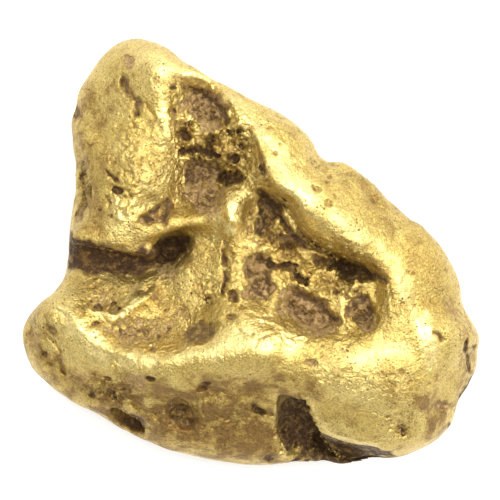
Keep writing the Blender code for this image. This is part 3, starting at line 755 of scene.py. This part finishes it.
# Iron crust and painted shade in the cave, up to a height.
skin.stain(skin.strip(((3.2, -9.6), (3.4, -11.6), (4.2, -13.2), (6.0, -14.3), (8.6, -14.5)), 1.7, 0.8),
           0.90, 0.0, top=9.9)
skin.stain(skin.oval(7.6, -14.0, 1.3, 0.7, 0), 0.8, 0.3, top=9.0)
skin.crumble((
    (3.5, -12.4, 1.6, 2.8, 0, 0.28),
    (6.0, -13.8, 2.0, 0.8, 0, 0.12),
))
skin.lips((
    (CAVE_EDGE, 0.40, 0.20),
))
# Painted highlights on the cave's upper edge and on the rib beside the slot.
skin.rub_and_paint_highlight((
    (CAVE_EDGE, 0.45, 0.7),
    (((1.9, -10.2), (2.0, -12.0), (2.4, -14.2)), 0.60, 0.6),
))


# ---- The cross ridge and the right lobe ----
# Both are worn smooth and given painted highlights, with a few specks, creases and shallow pits.

skin.pits((
    (1.2, -4.5, 0.45, 0.16, 0, 0.12, 0.5, 0.2),
    (1.4, -5.0, 0.18, 0.14, 0, 0.10, 0.6, 0.0),
    (0.2, -5.6, 0.20, 0.16, 0, 0.10, 0.6, 0.0),
    (1.0, -5.7, 0.34, 0.20, 0, 0.10, 0.4, 0.3),
    (4.1, -7.6, 0.42, 0.24, 0, 0.20, 0.4, 0.6),
    (10.5, -12.3, 0.50, 0.42, 0, 0.30, 0.5, 0.0),
    (10.4, -8.3, 0.28, 0.22, 0, 0.20, 0.5, 0.0),
    (12.3, -9.1, 0.22, 0.18, 0, 0.20, 0.5, 0.0),
    (13.2, -10.7, 0.55, 0.35, 0, 0.25, 0.5, 0.5),
    (14.0, -10.7, 0.32, 0.28, 0, 0.25, 0.6, 0.0),
    (9.5, -11.3, 0.22, 0.20, 0, 0.20, 0.5, 0.0),
))
skin.clefts((
    (((12.6, -5.5), (12.9, -5.6), (13.2, -6.0)), 0.24, 0.25, 0.8),
    (((0.6, -5.0), (0.5, -6.0), (0.3, -6.9)), 0.12, 0.06, 0.3),
))
skin.crumble((
    (0.9, -5.1, 1.2, 0.8, 0, 0.06),
    (10.3, -11.9, 1.5, 1.4, 0, 0.12),
    (8.5, -9.0, 6.5, 4.0, 0, 0.055),
    (-3.6, -7.6, 6.5, 1.8, 0, 0.05),
))
skin.wrinkle((
    (8.6, -9.2, 6.0, 3.6, 50, 0.07),
    (0.6, -5.2, 1.6, 0.9, 12, 0.10),
))
# Painted highlights on the cross ridge and on the crests of the right lobe.
skin.rub_and_paint_highlight((
    (((-8.5, -7.5), (-5.7, -7.0), (-3.3, -6.5), (-0.8, -6.2), (2.7, -6.1)), 1.2, 1.0),
    (((-0.2, -5.6), (1.2, -4.8)), 1.3, 0.8),
    (((7.6, -7.6), (9.8, -6.6)), 1.3, 0.5),
    (((5.6, -9.4), (7.6, -9.8)), 1.4, 0.35),
    (((11.8, -4.8), (12.4, -6.2), (12.6, -7.8)), 0.8, 1.0),
))
skin.tarnish_and_paint_shade((
    (((11.8, -10.2), (13.0, -11.0), (13.0, -12.2)), 1.2, 0.75),
    (((9.4, -9.0), (10.6, -10.2)), 0.9, 0.35),
    (((-6.0, -9.4), (-2.0, -8.8), (1.2, -8.6)), 0.9, 0.35),
))


# ---- The long ridge ----
# It runs from the head to the right lobe. Its crest is worn smooth and given a painted highlight, and
# its inner edge is nicked.

skin.pits((
    (1.3, 8.5, 0.34, 0.18, 0, 0.20, 0.6, 0.0),
    (2.1, 7.3, 0.18, 0.16, 0, 0.15, 0.5, 0.0),
    (1.7, 6.7, 0.24, 0.18, 0, 0.20, 0.6, 0.0),
    (2.7, 8.2, 0.16, 0.14, 0, 0.12, 0.5, 0.0),
    (4.5, 4.3, 0.42, 0.25, -30, 0.22, 0.7, 0.0),
    (5.5, 5.2, 0.22, 0.18, 0, 0.20, 0.7, 0.0),
    (5.3, 4.8, 0.22, 0.18, 0, 0.20, 0.7, 0.0),
    (6.5, 5.3, 0.80, 0.60, 0, 0.05, 0.35, 0.0),
    (5.4, 3.4, 0.32, 0.28, 0, 0.20, 0.6, 0.0),
    (3.1, 2.4, 0.30, 0.28, 0, 0.15, 0.6, 0.0),
    (8.5, 3.6, 0.34, 0.42, 20, 0.22, 0.5, 0.0),
    (10.8, -1.4, 0.18, 0.16, 0, 0.15, 0.5, 0.0),
    (11.2, -1.5, 0.18, 0.14, 0, 0.15, 0.5, 0.0),
    (11.3, -3.7, 0.18, 0.16, 0, 0.15, 0.5, 0.0),
))
skin.clefts((
    (((7.7, 4.9), (8.1, 4.0), (8.5, 3.3), (9.3, 2.9)), 0.20, 0.12, 0.3),
))
skin.crumble((
    (7.0, 4.0, 7.5, 3.4, -48, 0.055),
    (11.5, -3.5, 2.6, 3.6, 0, 0.05),
    (2.0, 7.8, 2.4, 1.2, -50, 0.05),
))
skin.wrinkle((
    (5.0, 4.6, 5.4, 4.2, 50, 0.06),
    (12.0, -3.0, 2.6, 4.0, 20, 0.06),
))
# Painted highlights along the crest, on its inner shoulder and down towards the right lobe.
skin.rub_and_paint_highlight((
    (((-1.6, 11.0), (0.1, 9.2), (1.7, 6.9), (2.5, 5.3)), 0.8, 0.8),
    (((2.1, 6.0), (3.0, 4.6), (3.8, 3.4)), 1.4, 1.0),
    (((5.6, 2.4), (8.8, 0.4), (10.8, -2.2), (11.2, -4.2)), 0.8, 0.5),
    (((3.0, 2.8), (4.4, 1.6), (5.6, 0.9)), 0.9, 0.7),
))
skin.tarnish_and_paint_shade((
    (((8.4, 5.0), (11.4, 1.4), (13.0, -3.4)), 2.6, 0.42),
))


# ---- The right edge ----
# The outer edge of the thick end is broken by slots and deep little holes.

skin.pits((
    (14.9, -6.5, 0.24, 0.70, 0, 0.50, 0.9, 0.0),
    (15.6, -6.6, 0.25, 0.25, 0, 0.40, 0.8, 0.0),
    (14.4, -11.2, 0.22, 0.40, 0, 0.40, 0.9, 0.0),
    (13.9, -12.2, 0.18, 0.40, 0, 0.40, 0.9, 0.0),
))
skin.stain(skin.strip(((13.9, -3.6), (14.9, -5.6), (15.2, -8.0), (14.7, -10.2)), 0.75, 0.3), 0.15, 0.32)
skin.clefts((
    (((14.7, -3.8), (15.0, -4.3), (15.2, -5.0)), 0.32, 0.30, 0.3),
    (((15.05, -7.2), (15.3, -8.3)), 0.24, 0.40, 0.9),
    (((15.7, -8.6), (15.2, -9.3), (14.8, -10.1)), 0.30, 0.50, 1.0),
))


# ---- The small dents ----
# Years of rolling among stones have left shallow dents and pin pricks all round the nugget, its
# underside too.

# Rows of number, smallest and largest reach, and depth as a share of the reach.
DENT_KINDS = ((300, 0.45, 1.0, 0.05), (500, 0.16, 0.34, 0.12))
DENT_SEED = 19

dice = np.random.default_rng(DENT_SEED)
net = kdtree.KDTree(len(skin.points))
for number, point in enumerate(skin.points):
    net.insert(point, number)
net.balance()
for count, smallest, largest, share in DENT_KINDS:
    for number in dice.integers(len(skin.points), size=count):
        reach = dice.uniform(smallest, largest)
        push = skin.facing[number] * reach * share
        found = net.find_range(skin.points[number], reach)
        nears = np.array([near for _, near, _ in found])
        gaps = np.array([gap for _, _, gap in found])
        skin.points[nears] -= np.outer(1.0 - smoothstep(0.2, 1.0, gaps / reach), push)
skin.points[:, 2] = np.maximum(skin.points[:, 2], 0.0)
skin.settle()


# ---- The hollows and the high places ----
# Where the skin lies deeper than its surroundings it is darkened, partly by dirt and partly as painted
# shade, and where it stands out the metal gets a painted highlight. The finished skin is then thinned
# to a net that is light enough to handle.

MOST_TRIANGLES = 190000
SMALL_RELIEF_ROUNDS = 10
LARGE_RELIEF_ROUNDS = 160


def standing_out(rounds):
    """How far the skin stands out from what is left of it after rounds of smoothing."""
    copy = nugget.copy()
    copy.data = nugget.data.copy()
    bpy.context.scene.collection.objects.link(copy)
    work_over(copy, "SMOOTH", factor=0.9, iterations=rounds)
    height = np.einsum("ij,ij->i", skin.points - points_of(copy), skin.facing)
    bpy.data.objects.remove(copy)
    return height


for name, values in (("iron_and_painted_shade", skin.iron_and_painted_shade), ("clay", skin.clay),
                     ("shine_and_painted_highlight", skin.shine_and_painted_highlight), ("film_and_painted_shade", skin.film_and_painted_shade),
                     ("small_relief", standing_out(SMALL_RELIEF_ROUNDS)),
                     ("large_relief", standing_out(LARGE_RELIEF_ROUNDS))):
    layer = nugget.data.attributes.new(name, "FLOAT", "POINT")
    layer.data.foreach_set("value", values.astype(np.float32))

work_over(nugget, "TRIANGULATE")
work_over(nugget, "DECIMATE", ratio=MOST_TRIANGLES / len(nugget.data.polygons))
nugget.data.shade_smooth()


# ---- The native gold ----
# The metal is pale, a little brassy and satin from wear. Fine grains and pricks cover it, iron stain
# and painted shade darken its hollows brown, its crests carry painted highlights, and pale brown clay
# is left on the floors of the casts.

gold = bpy.data.materials.new("satin_gold")
gold.use_nodes = True
nodes = gold.node_tree.nodes
links = gold.node_tree.links
shader = nodes["Principled BSDF"]


def plug(socket, value):
    """Gives a socket another node's output, a number or a colour."""
    if isinstance(value, bpy.types.NodeSocket):
        links.new(value, socket)
    elif isinstance(value, tuple):
        socket.default_value = (*value, 1.0)
    else:
        socket.default_value = value


def attribute(name):
    made = nodes.new("ShaderNodeAttribute")
    made.attribute_name = name
    return made.outputs["Fac"]


def calculate(operation, *values):
    made = nodes.new("ShaderNodeMath")
    made.operation = operation
    for socket, value in zip(made.inputs, values):
        plug(socket, value)
    return made.outputs[0]


def span(value, low, high, start=0.0, end=1.0):
    """Maps low..high softly to start..end, and holds the ends."""
    made = nodes.new("ShaderNodeMapRange")
    made.interpolation_type = "SMOOTHSTEP"
    plug(made.inputs["Value"], value)
    for name, number in (("From Min", low), ("From Max", high), ("To Min", start), ("To Max", end)):
        made.inputs[name].default_value = number
    return made.outputs["Result"]


def blend(share, first, second):
    """Mixes two colours by a share."""
    made = nodes.new("ShaderNodeMix")
    made.data_type = "RGBA"
    plug(made.inputs[0], share)
    plug(made.inputs[6], first)
    plug(made.inputs[7], second)
    return made.outputs[2]


def dim(colour, share):
    """Darkens a colour to a share of its strength."""
    made = nodes.new("ShaderNodeVectorMath")
    made.operation = "SCALE"
    plug(made.inputs[0], colour)
    plug(made.inputs["Scale"], share)
    return made.outputs[0]


place = nodes.new("ShaderNodeTexCoord").outputs["Object"]


def clouds(size, detail, roughness=0.5, distortion=0.0):
    """A cloudy pattern with swells of this size in millimetres."""
    made = nodes.new("ShaderNodeTexNoise")
    plug(made.inputs["Vector"], place)
    made.inputs["Scale"].default_value = 1.0 / (size * MM)
    made.inputs["Detail"].default_value = detail
    made.inputs["Roughness"].default_value = roughness
    made.inputs["Distortion"].default_value = distortion
    return made.outputs["Fac"]


def prick_marks(spacing, size, share):
    """Small round marks, 1 in the middle of each, of which only a share is kept."""
    made = nodes.new("ShaderNodeTexVoronoi")
    plug(made.inputs["Vector"], place)
    made.inputs["Scale"].default_value = 1.0 / (spacing * MM)
    chance = nodes.new("ShaderNodeSeparateColor")
    links.new(made.outputs["Color"], chance.inputs["Color"])
    kept = calculate("LESS_THAN", chance.outputs["Red"], share)
    mark = span(made.outputs["Distance"], size / spacing, 0.35 * size / spacing)
    return calculate("MULTIPLY", mark, kept)


broad = clouds(3.0, 3.0)
crinkle = clouds(0.9, 4.0, 0.6, 1.2)
patches = clouds(1.1, 4.0, 0.6)
mottle = clouds(0.40, 5.0, 0.65)
grain = clouds(0.20, 3.0, 0.65)
dust = clouds(0.13, 1.0)
pricks = calculate("MAXIMUM", prick_marks(0.60, 0.15, 0.45), prick_marks(0.30, 0.095, 0.45))
pricks = calculate("MULTIPLY", pricks, span(broad, 0.35, 0.6, 0.35, 1.0))
flecks = calculate("MULTIPLY", span(grain, 0.42, 0.33), span(patches, 0.38, 0.58, 0.25, 1.0))

# Darkening in the skin's hollows and basins, partly dirt and patina and partly painted shade.
hollow = span(attribute("small_relief"), 0.0, -0.06)
basin = span(attribute("large_relief"), 0.05, -0.45)
# Painted highlight on the parts that stand out and on the crests that are given one, together with
# their wear.
shine_and_painted_highlight = calculate("MULTIPLY", span(attribute("large_relief"), 0.10, 0.60), 0.35)
shine_and_painted_highlight = calculate("MAXIMUM", shine_and_painted_highlight, attribute("shine_and_painted_highlight"))
shine_and_painted_highlight = calculate("MULTIPLY", shine_and_painted_highlight, span(mottle, 0.3, 0.6, 0.7, 1.0))
# The basins add a brown darkening to the film, partly patina and partly painted shade.
film_and_painted_shade = calculate("MAXIMUM", attribute("film_and_painted_shade"), calculate("MULTIPLY", basin, 0.8))
film_and_painted_shade = calculate("MULTIPLY", film_and_painted_shade, span(patches, 0.35, 0.62, 0.40, 1.15))
film_and_painted_shade = calculate("MAXIMUM", film_and_painted_shade, span(patches, 0.46, 0.70, 0.0, 0.42))
film_and_painted_shade = calculate("ADD", film_and_painted_shade, span(crinkle, 0.50, 0.30, 0.0, 0.35))
film_and_painted_shade = calculate("MULTIPLY", film_and_painted_shade, calculate("SUBTRACT", 1.0, shine_and_painted_highlight))

# Painted shade in the small hollows, with dirt in the pricks and flecks.
dirt_and_painted_shade = calculate("MULTIPLY", hollow, span(basin, 0.0, 0.6, 0.35, 0.9))
dirt_and_painted_shade = calculate("MAXIMUM", dirt_and_painted_shade, calculate("MULTIPLY", pricks, 0.8))
dirt_and_painted_shade = calculate("MAXIMUM", dirt_and_painted_shade, calculate("MULTIPLY", flecks, 0.55))
iron_and_painted_shade = calculate("MAXIMUM", attribute("iron_and_painted_shade"), dirt_and_painted_shade)
iron_and_painted_shade = calculate("MULTIPLY", iron_and_painted_shade, span(mottle, 0.3, 0.65, 0.6, 1.1))
iron_and_painted_shade = calculate("MINIMUM", iron_and_painted_shade, 1.0)
clay = calculate("ADD", attribute("clay"), span(mottle, 0.3, 0.7, -0.40, 0.25))
clay = span(clay, 0.0, 0.6, 0.0, 0.85)

# The metal, its painted highlight, and the films and stains, which also carry painted shade.
METAL = (0.63, 0.465, 0.135)
WORN_METAL = (0.67, 0.51, 0.17)
PAINTED_HIGHLIGHT_METAL = (0.97, 0.77, 0.30)
OLIVE_FILM_AND_SHADE = (0.40, 0.26, 0.065)
BROWN_FILM_AND_SHADE = (0.225, 0.12, 0.032)
IRON_FILM_AND_SHADE = (0.195, 0.108, 0.036)
DEEP_IRON_AND_SHADE = (0.063, 0.030, 0.011)
DARK_CLAY = (0.29, 0.172, 0.080)
PALE_CLAY = (0.50, 0.335, 0.152)
SPECULAR_LEVEL = 0.25

colour = blend(span(broad, 0.35, 0.65), METAL, WORN_METAL)
# Painted highlight on the shining places.
colour = blend(shine_and_painted_highlight, colour, PAINTED_HIGHLIGHT_METAL)
film_and_shade_colour = blend(span(film_and_painted_shade, 0.4, 1.0), OLIVE_FILM_AND_SHADE, BROWN_FILM_AND_SHADE)
colour = blend(span(film_and_painted_shade, 0.0, 0.7, 0.0, 0.92), colour, film_and_shade_colour)
iron_and_shade_colour = blend(span(iron_and_painted_shade, 0.45, 1.0), IRON_FILM_AND_SHADE, DEEP_IRON_AND_SHADE)
clay_colour = blend(span(grain, 0.3, 0.7, 0.1, 1.0), DARK_CLAY, PALE_CLAY)
clay_colour = blend(span(patches, 0.58, 0.38, 0.0, 0.5), clay_colour, BROWN_FILM_AND_SHADE)
clay_colour = blend(span(iron_and_painted_shade, 0.55, 1.0, 0.0, 0.8), clay_colour, DEEP_IRON_AND_SHADE)
colour = blend(span(iron_and_painted_shade, 0.1, 0.85), colour, iron_and_shade_colour)
colour = blend(clay, colour, clay_colour)
colour = dim(colour, span(dust, 0.3, 0.65, 0.70, 1.06))
plug(shader.inputs["Base Color"], colour)

covered = calculate("MAXIMUM", span(iron_and_painted_shade, 0.2, 0.9, 0.0, 0.92), clay)
covered = calculate("MAXIMUM", covered, calculate("MULTIPLY", film_and_painted_shade, 0.22))
plug(shader.inputs["Metallic"], calculate("SUBTRACT", 1.0, covered))
satin = calculate("ADD", span(mottle, 0.3, 0.7, 0.36, 0.48), calculate("MULTIPLY", covered, 0.35))
satin = calculate("SUBTRACT", satin, calculate("MULTIPLY", shine_and_painted_highlight, 0.06))
plug(shader.inputs["Roughness"], satin)
shader.inputs["Specular IOR Level"].default_value = SPECULAR_LEVEL


def emboss(height, distance, strength, normal=None):
    """A bump of this height in millimetres over an earlier one."""
    made = nodes.new("ShaderNodeBump")
    plug(made.inputs["Height"], height)
    made.inputs["Distance"].default_value = distance * MM
    made.inputs["Strength"].default_value = strength
    if normal is not None:
        plug(made.inputs["Normal"], normal)
    return made.outputs["Normal"]


calm = calculate("SUBTRACT", 1.0, calculate("MULTIPLY", calculate("MAXIMUM", shine_and_painted_highlight, clay), 0.65))
relief = emboss(calculate("MULTIPLY", crinkle, calm), 0.18, 0.9)
relief = emboss(calculate("MULTIPLY", mottle, calm), 0.08, 0.9, relief)
relief = emboss(calculate("MULTIPLY", grain, calm), 0.07, 1.0, relief)
relief = emboss(calculate("MULTIPLY", dust, calm), 0.035, 1.0, relief)
relief = emboss(calculate("SUBTRACT", 1.0, pricks), 0.05, 0.6, relief)
plug(shader.inputs["Normal"], relief)

nugget.data.materials.clear()
nugget.data.materials.append(gold)

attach(nugget, "root")
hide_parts("gold_nugget")
